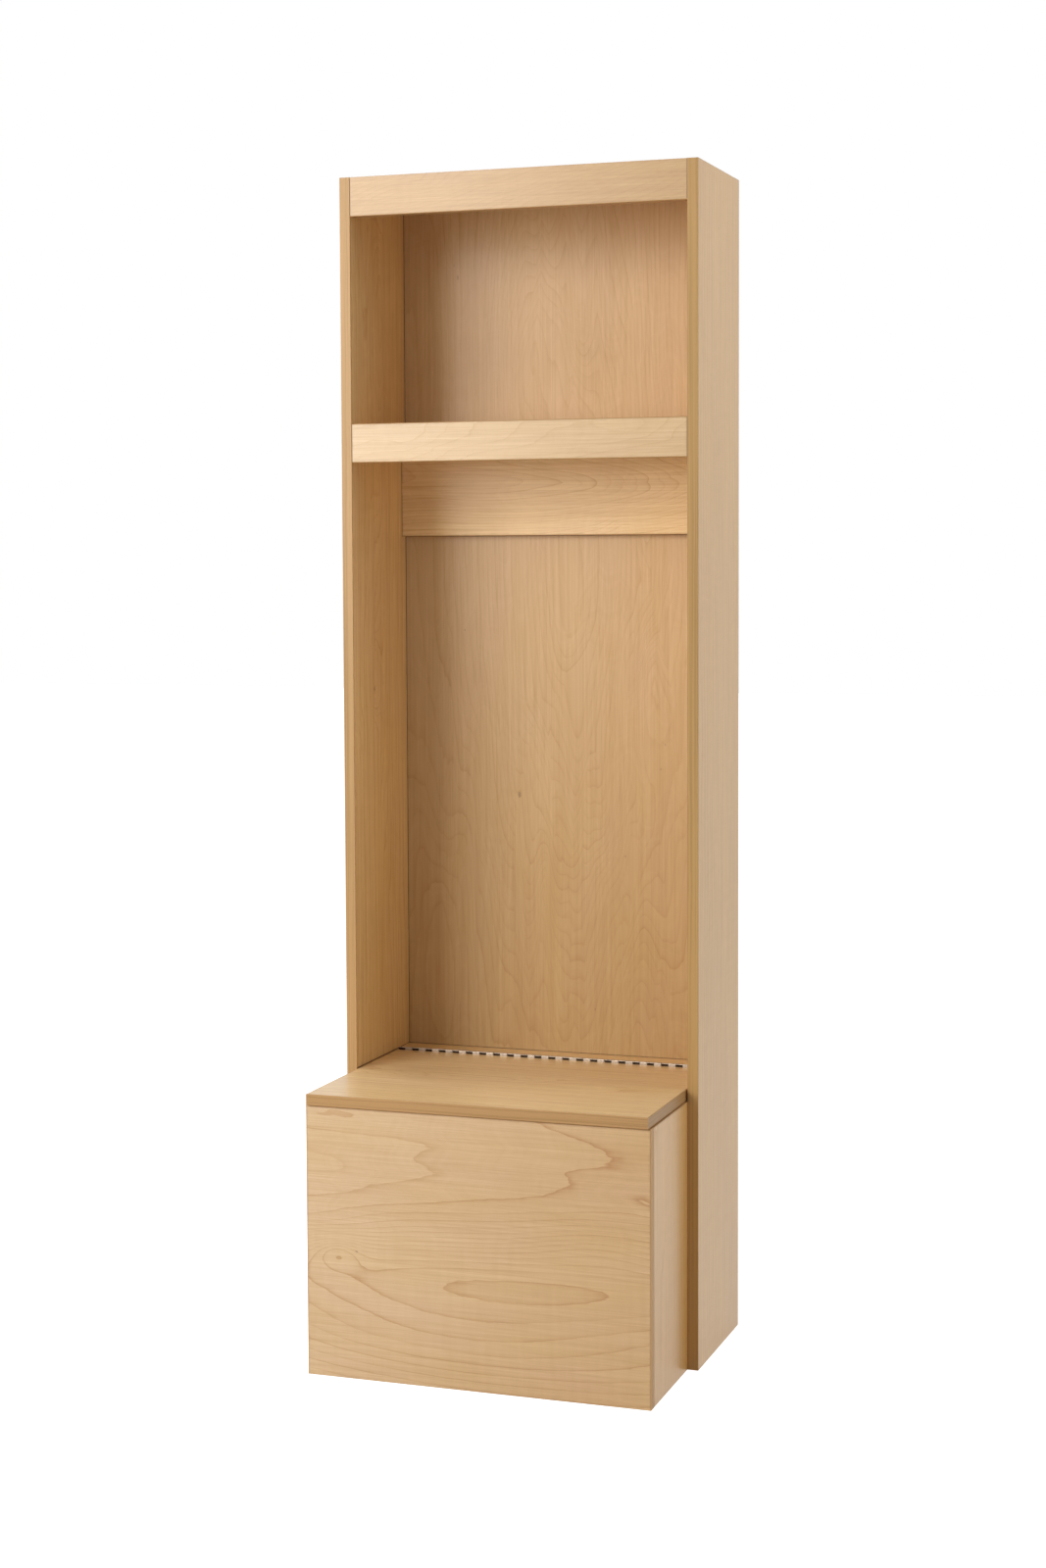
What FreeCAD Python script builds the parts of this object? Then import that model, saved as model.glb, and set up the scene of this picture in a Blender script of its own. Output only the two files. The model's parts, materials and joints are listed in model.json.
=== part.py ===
import FreeCAD, Part
import math
import os

# An open hall locker of veneered boards: two full-height sides, a top, one shelf, a back panel
# with a hook rail under the shelf, and a storage box with a lift-up seat lid on a long hinge.
# The origin is on the floor, under the middle of the whole locker. +X is its right, as seen
# from the front, -Y is its front and +Z is up. All lengths are in millimetres.

Vec = FreeCAD.Vector

# Whole locker
overall_width = 610.0
overall_height = 1936.0
carcass_depth = 260.0

# Boards and their edge bands
board = 18.0
thin_board = 12.0
band = 1.0
band_round = 0.8

# Grooves that hold the thin boards
groove_depth = 6.0
groove_side_play = 0.1
groove_end_play = 0.3
back_recess = 9.0

# Fascias, shelf and hook rail
fascia_height = 64.0
fascia_setback = 1.0
fascia_end_gap = 0.3
shelf_height = 1533.0
rail_height = 166.0

# Seat and storage box
seat_height = 457.0
seat_projection = 216.0
lid_overhang = 5.0
lid_end_gap = 2.5
lid_seat_gap = 1.0
ledge_depth = 62.0
cleat_height = 40.0
cleat_end_gap = 0.3
box_floor_height = 38.0

# Soft bumpers under the lid
bumper_radius = 4.0
bumper_play = 0.1
bumper_inset = 30.0

# Long hinge of the lid
leaf_thickness = 0.9
leaf_reach = 15.0
pin_radius = 0.9
pin_play = 0.1
knuckle_length = 12.5
knuckle_gap = 0.3
hinge_end_room = 3.0
notch_drop = 1.0
curl_degrees = 290.0
curl_facets = 8
hinge_rise = 3.4
pin_overhang = 0.5
lid_stop_gap = 0.35

# Dowels and screws are six-sided here, which keeps so many small pieces light.
fastener_sides = 6

# Wooden dowels
dowel_radius = 4.0
dowel_length = 30.0
dowel_in_face = 12.0
dowel_play = 0.05
dowel_end_play = 0.5

# Wood screws that join the boards
screw_length = 28.0
screw_radius = 1.9
screw_head_radius = 3.9
screw_tip = 4.0
screw_tip_radius = 0.5
screw_play = 0.05
screw_end_play = 0.5

# Small screws that hold the hinge leaves
leaf_screw_length = 14.0
leaf_screw_radius = 1.4
leaf_screw_head_radius = 2.7
leaf_screw_tip = 3.0
leaf_screw_pitch = 50.0
leaf_screw_end_room = 25.0

# One overrun serves every cut that has to break through a face.
overrun = 1.0

# Places of the fasteners, as shares of the boards that they join
panel_dowel_shares = (0.15, 0.5, 0.85)
fascia_dowel_shares = (0.12, 0.5, 0.88)
rail_dowel_shares = (0.2, 0.8)
ledge_dowel_shares = (0.3, 0.7)
box_dowel_shares = (0.15, 0.4, 0.65, 0.9)
box_screw_depth_shares = (0.25, 0.75)
box_screw_height_shares = (0.3, 0.75)
back_screw_shares = (0.1, 0.5, 0.9)
box_back_screw_shares = (0.2, 0.7)

# Places worked out from the sizes above
rear_y = (carcass_depth + seat_projection) / 2
front_y = rear_y - carcass_depth
lid_front_y = front_y - seat_projection
box_front_y = lid_front_y + lid_overhang
back_rear_y = rear_y - back_recess
back_face_y = back_rear_y - thin_board
ledge_front_y = back_face_y - ledge_depth
box_side_front_y = box_front_y + board
fascia_front_y = front_y + fascia_setback
fascia_rear_y = fascia_front_y + board
rail_face_y = back_face_y - board

side_x = overall_width / 2
inner_x = side_x - board
box_inner_x = inner_x - board
lid_half = inner_x - lid_end_gap
fascia_half = inner_x - fascia_end_gap
cleat_half = box_inner_x - cleat_end_gap
back_half = inner_x + groove_depth - groove_end_play

shelf_under_z = shelf_height - board
rail_under_z = shelf_under_z - rail_height
seat_under_z = seat_height - board
box_top_z = seat_under_z - lid_seat_gap
box_floor_under_z = box_floor_height - thin_board

curl_inner = pin_radius + pin_play
curl_outer = curl_inner + leaf_thickness
hinge_y = ledge_front_y - curl_outer
hinge_z = seat_height + hinge_rise
lid_rear_y = hinge_y - curl_outer
knuckle_count = int(2 * (lid_half - hinge_end_room) / knuckle_length)
hinge_length = knuckle_count * knuckle_length
leaf_screw_gaps = int((hinge_length - 2 * leaf_screw_end_room) / leaf_screw_pitch)

full_turn = 360.0
right = Vec(1, 0, 0)
back = Vec(0, 1, 0)
up = Vec(0, 0, 1)
sides = (("left", -1), ("right", 1))

nodes = {}
holes = {}


def block(x, y, z):
    """A straight board that fills three ranges, each a (low, high) pair."""
    size = [high - low for low, high in (x, y, z)]
    return Part.makeBox(size[0], size[1], size[2], Vec(x[0], y[0], z[0]))


def across(half):
    """A range that is centred on the locker's middle plane."""
    return (-half, half)


def on_side(sign, inner, outer):
    """The range from inner to outer on the left, where sign is -1, or on the right."""
    return tuple(sorted((sign * inner, sign * outer)))


def along(span, shares):
    """The places at the given shares of a range."""
    return [span[0] + (span[1] - span[0]) * share for share in shares]


def flat_face(points):
    """A flat face with straight edges from point to point."""
    return Part.Face(Part.makePolygon(points + [points[0]]))


def faceted(outline, start, direction):
    """A solid with flat facets round its axis, set along a direction. The outline gives its
    (radius, height) points from one end to the other."""
    turns = [math.tau * side / fastener_sides for side in range(fastener_sides)]
    rings = [[Vec(radius * math.cos(turn), radius * math.sin(turn), height) for turn in turns]
             for radius, height in outline]
    faces = [flat_face(rings[0]), flat_face(rings[-1])]
    for low, high in zip(rings, rings[1:]):
        for side in range(fastener_sides):
            faces.append(flat_face([low[side - 1], low[side], high[side], high[side - 1]]))
    solid = Part.Solid(Part.Shell(faces))
    solid.Placement = FreeCAD.Placement(start, FreeCAD.Rotation(up, direction))
    return solid


def edge_band(length, width, corner, run, across_board, outward):
    """A band with its two outer arrises rounded, glued on a board's edge. It starts at corner and
    runs along run, over the board's thickness along across_board, and stands out along outward."""
    def spot(over, out):
        return corner + across_board * over + outward * out

    def arris(start, centre, end):
        middle = start + end - centre * 2
        middle.normalize()
        return Part.Arc(start, centre + middle * band_round, end)

    flat = band - band_round
    far = width - band_round
    parts = [
        Part.LineSegment(spot(0, 0), spot(width, 0)),
        Part.LineSegment(spot(width, 0), spot(width, flat)),
        arris(spot(width, flat), spot(far, flat), spot(far, band)),
        Part.LineSegment(spot(far, band), spot(band_round, band)),
        arris(spot(band_round, band), spot(band_round, flat), spot(0, flat)),
        Part.LineSegment(spot(0, flat), spot(0, 0)),
    ]
    wire = Part.Wire([piece.toShape() for piece in parts])
    return Part.Face(wire).extrude(run * length)


def bore(tool, *names):
    """Cuts one tool out of every board that it passes through."""
    for name in names:
        holes.setdefault(name, []).append(tool)


def dowels(node, places, direction, faced, edged):
    """Wooden dowels from the face of one board into the edge or end of another. Each place is on
    the joint, and direction points from the faced board into the other one."""
    hole_radius = dowel_radius + dowel_play
    for place in places:
        start = place - direction * dowel_in_face
        nodes.setdefault(node, []).append(
            faceted([(dowel_radius, 0), (dowel_radius, dowel_length)], start, direction))
        bore(faceted([(hole_radius, -dowel_end_play),
                      (hole_radius, dowel_length + dowel_end_play)], start, direction),
             faced, edged)


def flat_head_screw(length, radius, head_radius, tip, play, end_play):
    """The outlines of a screw with a flat head, and of the hole that it sits in."""
    def outline(grown, run_out):
        return [(head_radius + grown, 0), (radius + grown, head_radius - radius),
                (radius + grown, length - tip + run_out),
                (screw_tip_radius + grown, length + run_out)]

    return outline(0, 0), [(head_radius + play, -overrun)] + outline(play, end_play)


def screws(node, places, direction, through, into, kind):
    """Screws whose heads lie flush in one part and whose tips bite into another."""
    screw, hole = kind
    for place in places:
        nodes.setdefault(node, []).append(faceted(screw, place, direction))
        bore(faceted(hole, place, direction), through, into)


board_screw = flat_head_screw(screw_length, screw_radius, screw_head_radius, screw_tip,
                              screw_play, screw_end_play)
leaf_screw = flat_head_screw(leaf_screw_length, leaf_screw_radius, leaf_screw_head_radius,
                             leaf_screw_tip, screw_play, screw_end_play)


def side_panels():
    """The two sides stand on the floor and hold the back panel in a groove."""
    for name, sign in sides:
        panel = "side_panel_" + name
        nodes[panel] = [block(on_side(sign, inner_x, side_x), (front_y + band, rear_y),
                              (0, overall_height))]
        bore(block(on_side(sign, inner_x - overrun, inner_x + groove_depth),
                   (back_face_y - groove_side_play, back_rear_y + groove_side_play),
                   (-overrun, overall_height + overrun)), panel)
        corner = Vec(min(on_side(sign, inner_x, side_x)), front_y + band, 0)
        nodes["side_band_" + name] = [
            edge_band(overall_height, board, corner, up, right, -back)]


def back_panel():
    """A thin board in the side grooves, set in from the rear edges."""
    nodes["back_panel"] = [block(across(back_half), (back_face_y, back_rear_y),
                                 (0, overall_height))]


def fascia(name, top_z, bands):
    """A front rail with its named edges banded: its core, and one node for each band."""
    low = top_z - fascia_height
    core_low = low + band if "bottom" in bands else low
    core_high = top_z - band if "top" in bands else top_z
    nodes[name] = [block(across(fascia_half), (fascia_front_y, fascia_rear_y),
                         (core_low, core_high))]
    ends = {"top": (core_high, up), "bottom": (core_low, -up)}
    for edge in bands:
        z, outward = ends[edge]
        nodes[name + "_band_" + edge] = [
            edge_band(2 * fascia_half, board, Vec(-fascia_half, fascia_front_y, z), right, back,
                      outward)]


def fixed_shelf(panel, face, top_z, sockets):
    """A level board between the sides, with its fascia in front and the dowels of both."""
    depth = (fascia_rear_y, back_face_y)
    middle_z = top_z - board / 2
    nodes[panel] = [block(across(inner_x), depth, (top_z - board, top_z))]
    for name, sign in sides:
        dowels("dowels_" + sockets, [Vec(sign * inner_x, y, middle_z)
                                     for y in along(depth, panel_dowel_shares)],
               right * -sign, "side_panel_" + name, panel)
        end = Vec(sign * fascia_half, fascia_front_y + board / 2, top_z - fascia_height / 2)
        dowels("dowels_" + face, [end], right * -sign, "side_panel_" + name, face)
    dowels("dowels_" + face, [Vec(x, fascia_rear_y, middle_z)
                              for x in along(across(fascia_half), fascia_dowel_shares)],
           back, face, panel)
    behind_screws(panel, middle_z)


def behind_screws(board_name, z):
    """Screws through the back panel into a board that runs from side to side."""
    span = across(box_inner_x)
    screws("screws_back", [Vec(x, back_rear_y, z) for x in along(span, back_screw_shares)],
           -back, "back_panel", board_name, board_screw)


def hook_rail():
    """The rail under the shelf that coat hooks are screwed to. It lies against the back panel."""
    height = (rail_under_z, shelf_under_z)
    nodes["hook_rail"] = [block(across(inner_x), (rail_face_y, back_face_y),
                                (height[0] + band, height[1]))]
    nodes["hook_rail_band"] = [
        edge_band(2 * inner_x, board, Vec(-inner_x, rail_face_y, height[0] + band), right, back,
                  -up)]
    for name, sign in sides:
        dowels("dowels_hook_rail", [Vec(sign * inner_x, rail_face_y + board / 2, z)
                                    for z in along(height, rail_dowel_shares)],
               right * -sign, "side_panel_" + name, "hook_rail")
    behind_screws("hook_rail", sum(height) / 2)


def ledge():
    """The fixed strip behind the lid, and the cleat on the back panel that carries it."""
    depth = (ledge_front_y, back_face_y)
    nodes["ledge"] = [block(across(inner_x), depth, (seat_under_z, seat_height))]
    nodes["ledge_cleat"] = [block(across(cleat_half), (rail_face_y, back_face_y),
                                  (seat_under_z - cleat_height, seat_under_z))]
    for name, sign in sides:
        dowels("dowels_ledge", [Vec(sign * inner_x, y, seat_height - board / 2)
                                for y in along(depth, ledge_dowel_shares)],
               right * -sign, "side_panel_" + name, "ledge")
    behind_screws("ledge", seat_height - board / 2)
    behind_screws("ledge_cleat", seat_under_z - cleat_height / 2)


def storage_box():
    """The box under the seat: its front laps the ends of its sides, its bottom lies in grooves."""
    core_top = box_top_z - band
    front_core = inner_x - band
    groove = (box_floor_under_z - groove_side_play, box_floor_height + groove_side_play)
    nodes["box_front"] = [block(across(front_core), (box_front_y, box_side_front_y),
                                (0, core_top))]
    bore(block(across(front_core + overrun),
               (box_side_front_y - groove_depth, box_side_front_y + overrun), groove),
         "box_front")
    nodes["box_front_band_top"] = [
        edge_band(2 * front_core, board, Vec(-front_core, box_front_y, core_top), right, back,
                  up)]
    for name, sign in sides:
        panel = "box_side_" + name
        nodes["box_front_band_" + name] = [
            edge_band(box_top_z, board, Vec(sign * front_core, box_front_y, 0), up, back,
                      right * sign)]
        span = on_side(sign, box_inner_x, inner_x)
        nodes[panel] = [block(span, (box_side_front_y, back_face_y), (0, core_top))]
        bore(block(on_side(sign, box_inner_x - overrun, box_inner_x + groove_depth),
                   (box_side_front_y - overrun, back_face_y + overrun), groove), panel)
        nodes["box_side_band_" + name] = [
            edge_band(back_face_y - box_side_front_y, board,
                      Vec(span[0], box_side_front_y, core_top), back, right, up)]
        middle_x = sign * (box_inner_x + board / 2)
        dowels("dowels_box", [Vec(middle_x, box_side_front_y, z)
                              for z in along((0, core_top), box_dowel_shares)],
               back, "box_front", panel)
        screws("screws_box", [Vec(sign * box_inner_x, y, z)
                              for y in along((front_y, back_face_y), box_screw_depth_shares)
                              for z in along((0, core_top), box_screw_height_shares)],
               right * sign, panel, "side_panel_" + name, board_screw)
        screws("screws_back", [Vec(middle_x, back_rear_y, z)
                               for z in along((0, core_top), box_back_screw_shares)],
               -back, "back_panel", panel, board_screw)
        nodes.setdefault("lid_bumpers", []).append(
            Part.makeCylinder(bumper_radius, lid_seat_gap - bumper_play,
                              Vec(middle_x, box_side_front_y + bumper_inset, box_top_z), up))
    tongue = groove_depth - groove_end_play
    nodes["box_bottom"] = [block(across(box_inner_x + tongue),
                                 (box_side_front_y - tongue, back_face_y),
                                 (box_floor_under_z, box_floor_height))]
    nodes["box_bottom_cleat"] = [block(across(cleat_half), (rail_face_y, back_face_y),
                                       (0, box_floor_under_z))]
    behind_screws("box_bottom_cleat", box_floor_under_z / 2)


def seat_lid():
    """The lid's core and the bands on its front and ends. Its rear edge carries the hinge."""
    core = lid_half - band
    core_front = lid_front_y + band
    nodes["lid_panel"] = [block(across(core), (core_front, lid_rear_y),
                                (seat_under_z, seat_height))]
    nodes["lid_band_front"] = [
        edge_band(2 * lid_half, board, Vec(-lid_half, core_front, seat_under_z), right, up,
                  -back)]
    for name, sign in sides:
        nodes["lid_band_" + name] = [
            edge_band(lid_rear_y - core_front, board, Vec(sign * core, core_front, seat_under_z),
                      back, up, right * sign)]


def knuckle_profile(sign):
    """The rolled end of a leaf, on its own side of the pin: a curl round the pin, in short flats,
    that runs down into the flat of the leaf. The flat touches the board's edge behind it."""
    def curl(radius):
        turns = [math.radians(curl_degrees) * step / curl_facets
                 for step in range(curl_facets + 1)]
        return [Vec(0, sign * radius * math.cos(turn), radius * math.sin(turn))
                for turn in turns]

    outside = curl(curl_outer)
    inside = curl(curl_inner)
    foot = -up * (hinge_rise + notch_drop)
    return flat_face([outside[0] + foot] + outside + inside[::-1] + [inside[0] + foot])


def hinge_leaf(name, sign, first, carrier):
    """One leaf: a flat against the carrier's edge, and every second knuckle from the first one.
    Between its own knuckles the flat is cut back, clear of the other leaf's."""
    start = Vec(-hinge_length / 2, hinge_y, hinge_z)
    profile = knuckle_profile(sign)
    curls = []
    for index in range(first, knuckle_count, 2):
        curl = profile.extrude(right * (knuckle_length - knuckle_gap))
        curl.translate(start + right * (index * knuckle_length + knuckle_gap / 2))
        curls.append(curl)
    flat_y = on_side(sign, curl_inner, curl_outer)
    flat = block(across(hinge_length / 2), (hinge_y + flat_y[0], hinge_y + flat_y[1]),
                 (seat_height - leaf_reach, seat_height - notch_drop))
    nodes[name] = [flat.multiFuse(curls).removeSplitter()]
    proud = leaf_screw_head_radius - leaf_screw_radius - leaf_thickness
    face_y = hinge_y + sign * (curl_inner - proud)
    reach = leaf_screw_gaps * leaf_screw_pitch / 2
    places = [Vec(index * leaf_screw_pitch - reach, face_y, seat_height - board / 2)
              for index in range(leaf_screw_gaps + 1)]
    screws("hinge_screws_" + name.split("_")[-1], places, back * sign, name, carrier, leaf_screw)


def long_hinge():
    """The two leaves with their screws, and the pin that the knuckles share."""
    hinge_leaf("hinge_leaf_fixed", 1, 0, "ledge")
    hinge_leaf("hinge_leaf_lid", -1, 1, "lid_panel")
    half = hinge_length / 2 + pin_overhang
    nodes["hinge_pin"] = [Part.makeCylinder(pin_radius, 2 * half, Vec(-half, hinge_y, hinge_z),
                                            right)]


def lid_travel():
    """How far the lid turns, in degrees, before its front edge meets the back panel."""
    reach = hinge_y - lid_front_y
    length = math.hypot(reach, hinge_rise)
    room = back_face_y - hinge_y - lid_stop_gap
    lean = math.asin(room / length) + math.atan(hinge_rise / reach)
    return full_turn / 4 + math.degrees(lean)


def finished(name):
    """The pieces of a node with every hole that belongs to them cut out, as one shape."""
    shapes = nodes[name]
    if name in holes:
        shapes = [shape.cut(holes[name]) for shape in shapes]
    solids = [solid for shape in shapes for solid in shape.Solids]
    return solids[0] if len(solids) == 1 else Part.Compound(solids)


side_panels()
back_panel()
fascia("top_fascia", overall_height, ("bottom",))
fascia("shelf_fascia", shelf_height, ("top", "bottom"))
fixed_shelf("top_panel", "top_fascia", overall_height, "top")
fixed_shelf("shelf_panel", "shelf_fascia", shelf_height, "shelf")
hook_rail()
ledge()
storage_box()
seat_lid()
long_hinge()

os.makedirs("parts", exist_ok=True)
for node in sorted(nodes):
    shape = finished(node)
    shape.exportStep("parts/" + node + ".step")
    print(node, len(shape.Solids), round(shape.Volume), shape.isValid())
print("hinge axis at y", round(hinge_y, 3), "and z", round(hinge_z, 3))
print("lid opens", round(lid_travel(), 2), "degrees")
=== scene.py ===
import json
import math
from functools import cache

import bmesh
import bpy
from bpy.props import FloatProperty, FloatVectorProperty, IntProperty, PointerProperty
from mathutils import Matrix, Vector

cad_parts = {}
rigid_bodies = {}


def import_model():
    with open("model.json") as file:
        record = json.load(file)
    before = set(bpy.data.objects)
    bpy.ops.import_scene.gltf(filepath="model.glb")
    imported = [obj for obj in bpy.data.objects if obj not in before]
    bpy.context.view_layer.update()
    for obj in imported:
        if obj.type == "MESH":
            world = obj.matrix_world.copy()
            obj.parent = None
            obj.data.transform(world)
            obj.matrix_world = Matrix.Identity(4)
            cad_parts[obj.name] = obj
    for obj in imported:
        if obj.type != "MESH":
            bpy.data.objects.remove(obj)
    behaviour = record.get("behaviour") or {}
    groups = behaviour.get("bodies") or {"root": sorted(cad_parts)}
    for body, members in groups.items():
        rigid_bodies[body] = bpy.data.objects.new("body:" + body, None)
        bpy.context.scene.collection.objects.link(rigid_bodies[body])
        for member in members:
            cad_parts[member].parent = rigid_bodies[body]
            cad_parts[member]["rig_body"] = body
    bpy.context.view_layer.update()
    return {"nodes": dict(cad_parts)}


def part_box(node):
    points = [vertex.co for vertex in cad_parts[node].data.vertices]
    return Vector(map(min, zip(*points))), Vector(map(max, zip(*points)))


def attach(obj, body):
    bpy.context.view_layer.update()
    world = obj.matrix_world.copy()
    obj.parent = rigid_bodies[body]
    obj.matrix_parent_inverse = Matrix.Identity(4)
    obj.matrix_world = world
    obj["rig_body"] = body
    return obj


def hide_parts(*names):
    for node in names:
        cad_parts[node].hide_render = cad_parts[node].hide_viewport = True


bl_info = {
    "name": "Hall locker finish",
    "version": (1, 0, 0),
    "blender": (4, 5, 0),
    "location": "View3D > Sidebar > Locker",
    "description": "Finishes an open hall locker of veneered boards with a storage bench",
    "category": "Object",
}

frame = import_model()
NODES = frame["nodes"]
BODY_OF = {node: obj["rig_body"] for node, obj in NODES.items()}
MM = 0.001
WHITE = (1, 1, 1, 1)
ORIGIN = (0, 0, 0)

# Each veneered board: the axes along its grain, across it and through its thickness, a seed, its
# tone in red, green and blue, growth rings per metre across the grain and along it, how far the
# rings wander, and how strongly its growth lines and its fine streaks show.
BOARDS = {
    "side_panel_left": ("zyx", 3.1, (1.20, 1.34, 1.58), 62, 1.0, 1.6, 1.0, 0.35),
    "side_panel_right": ("zyx", 8.7, (1.01, 0.90, 0.64), 70, 1.0, 1.2, 0.9, 0.25),
    "back_panel": ("zxy", 5.3, (0.87, 0.875, 0.965), 0.0, -3.0, 0.4, 0.63, 0.17),
    "top_panel": ("xyz", 11.9, (1.0, 1.0, 1.0), 40, 2.0, 2.0, 0.8, 0.15),
    "top_fascia": ("xzy", 2.4, (0.80, 0.75, 0.72), 130, -38.0, 1.4, 0.7, 0.30),
    "shelf_panel": ("xyz", 14.2, (1.0, 1.03, 1.12), 40, 2.0, 2.0, 0.8, 0.15),
    "shelf_fascia": ("xzy", 6.6, (0.93, 0.96, 1.09), 34, -11.0, 1.8, 0.6, 0.28),
    "hook_rail": ("xzy", 9.3, (1.20, 1.31, 1.60), -105.0, 18.0, 0.4, 0.95, 0.28),
    "ledge": ("xyz", 4.8, (1.03, 1.06, 1.09), 60, 1.0, 1.4, 0.8, 0.15),
    "ledge_cleat": ("xzy", 21.3, (1.0, 1.0, 1.0), 60, 1.0, 1.4, 0.8, 0.15),
    "box_front": ("xzy", 7.5, (0.98, 0.97, 1.12), 5.0, -4.0, 0.25, 1.35, 0.20),
    "box_side_left": ("zyx", 17.1, (1.0, 1.0, 1.05), 60, 1.0, 1.6, 0.8, 0.15),
    "box_side_right": ("zyx", 12.6, (1.09, 0.97, 0.76), 60, 6.0, 1.0, 0.9, 0.2),
    "box_bottom": ("xyz", 19.4, (1.0, 1.0, 1.0), 40, 1.0, 2.0, 0.8, 0.15),
    "box_bottom_cleat": ("xzy", 23.8, (1.0, 1.0, 1.0), 60, 1.0, 1.4, 0.8, 0.15),
    "lid_panel": ("xyz", 1.7, (1.06, 1.17, 1.44), 36, 1.0, 1.4, 0.85, 0.35),
}

# The main figure of a board: where its ring count starts, and its swells, each with its place
# along the grain and across it, its spread along and across, and how many rings it adds.
FIGURES = {
    "box_front": (-2.9, (
        (0.00, 0.19, 1.00, 0.07, -9.0),
        (-0.08, 0.085, 0.60, 0.095, -8.8),
        (0.20, 0.25, 0.12, 0.035, -2.5),
        (-0.28, 0.25, 0.12, 0.03, 1.5),
        (-0.235, 0.205, 0.04, 0.025, -3.0),
        (-0.26, 0.345, 0.05, 0.014, 0.6),
        (-0.05, 0.367, 0.05, 0.012, -0.25),
        (0.19, 0.359, 0.05, 0.011, -0.35),
        (-0.30, 0.43, 0.25, 0.035, -2.2),
        (0.20, 0.45, 0.15, 0.035, -1.2),
        (0.30, 0.32, 0.05, 0.02, 0.8),
    )),
    "back_panel": (15.0, (
        (1.25, 0.02, 0.68, 0.15, -12.5),
        (1.06, 0.15, 0.13, 0.04, 3.5),
        (0.50, 0.13, 0.30, 0.05, 3.0),
        (0.65, -0.22, 0.20, 0.06, 2.0),
        (1.68, -0.07, 0.18, 0.05, -3.5),
        (1.70, 0.035, 0.10, 0.02, 2.0),
        (0.62, -0.03, 0.12, 0.02, 1.5),
        (1.75, 0.25, 0.40, 0.10, 4.0),
        (1.75, -0.27, 0.40, 0.08, 2.0),
        (1.32, 0.165, 0.10, 0.03, -2.0),
    )),
    "hook_rail": (149.0, (
        (0.00, 1.49, 1.00, 0.04, 9.0),
        (0.28, 1.42, 0.12, 0.05, 1.2),
        (-0.32, 1.40, 0.20, 0.10, 5.5),
        (0.12, 1.37, 0.03, 0.015, 1.2),
    )),
    "side_panel_left": (0.0, (
        (1.09, 0.069, 0.05, 0.022, 4.0),
        (1.12, 0.03, 0.16, 0.06, 1.6),
        (1.69, 0.12, 0.30, 0.055, -8.0),
        (0.72, 0.10, 0.22, 0.05, 1.8),
    )),
    "box_side_right": (0.0, ((0.52, -0.145, 0.36, 0.045, -5.5),)),
    "lid_panel": (0.0, (
        (-0.12, -0.035, 0.13, 0.03, 2.4),
        (0.10, -0.085, 0.16, 0.035, 1.8),
    )),
    "top_fascia": (0.0, ((-0.148, 1.914, 0.035, 0.016, 1.6),)),
    "shelf_fascia": (0.0, (
        (-0.17, 1.50, 0.06, 0.03, 1.4),
        (0.19, 1.515, 0.08, 0.03, 1.6),
    )),
}

# Pin knots and flecks: place along the grain and across it, length and width.
FLECK = (0.004, 0.0015)
MARKS = {
    "back_panel": (
        (0.902, -0.079, 0.009, 0.005),
        (1.793, -0.187, 0.008, 0.002),
        (1.814, -0.194, 0.005, 0.001),
        (0.994, 0.183, *FLECK),
        (0.952, 0.175, *FLECK),
        (0.801, 0.112, *FLECK),
        (0.535, 0.057, *FLECK),
        (1.186, -0.178, *FLECK),
    ),
    "side_panel_left": ((1.09, 0.069, 0.008, 0.005),),
    "box_front": ((-0.201, 0.207, 0.004, 0.003),),
}
ANY_DEPTH = 1000.0

# Which side of a board is seen in the room, along the axis through it: 1 high, -1 low. A board
# that isn't here shows its high side.
SHOWN = {"back_panel": -1.0, "hook_rail": -1.0, "top_fascia": -1.0, "shelf_fascia": -1.0}

# The tone of the veneer on a board's other side, where that is another one.
OTHER_TONES = {
    "side_panel_left": (0.98, 0.99, 1.05),
    "side_panel_right": (1.03, 1.05, 1.12),
    "box_side_right": (1.00, 0.98, 0.90),
    "lid_panel": (1.00, 1.02, 1.05),
}

# Where the shown side of a board meets a neighbour, a thin line of painted shade over a hairline
# joint: the axis across the joint, the neighbour, and the end of the neighbour's box that the
# joint is at: 0 low, 1 high.
SIDES = (("x", "side_panel_left", 1), ("x", "side_panel_right", 0))
SHADED_JOINTS = {
    "back_panel": (*SIDES, ("z", "hook_rail_band", 0), ("z", "ledge", 1)),
    "side_panel_left": (("y", "back_panel", 0), ("z", "ledge", 1)),
    "hook_rail": (*SIDES, ("z", "shelf_panel", 0)),
    "top_fascia": SIDES,
    "shelf_fascia": SIDES,
    "ledge": (("y", "back_panel", 0),),
}

# How far the points of a board's flame figure reach along it, and the two places across the board
# between which they set in. Places past its edge let them set in everywhere.
EVERYWHERE = (-1.0, -0.9)
QUIET = (0.05, *EVERYWHERE)
FLAMES = {
    "box_front": (0.10, 0.22, 0.29),
    "back_panel": (0.25, *EVERYWHERE),
    "hook_rail": (0.10, *EVERYWHERE),
    "top_fascia": (0.10, *EVERYWHERE),
    "shelf_fascia": (0.10, *EVERYWHERE),
    "side_panel_left": (0.10, *EVERYWHERE),
    "lid_panel": (0.15, *EVERYWHERE),
}

# Painted light and shade: how a board's colour darkens along its grain where less light falls on
# it, towards the bottom on the back panel and the sides, and towards the right on the box front:
# the two places between which it changes, and its shares of red, green and blue at each.
LIGHT_FALLOFF_TINTS = {
    "box_front": (-0.30, 0.30, (1.02, 1.08, 1.20), (0.925, 0.905, 0.87)),
    "back_panel": (0.55, 1.25, (0.87, 0.86, 0.84), (1.03, 1.05, 1.15)),
    "side_panel_left": (0.55, 0.95, (0.88, 0.88, 0.86), (0.99, 0.99, 1.0)),
    "box_side_right": (0.05, 0.40, (0.94, 0.92, 0.88), (1.03, 1.04, 1.08)),
}

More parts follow.
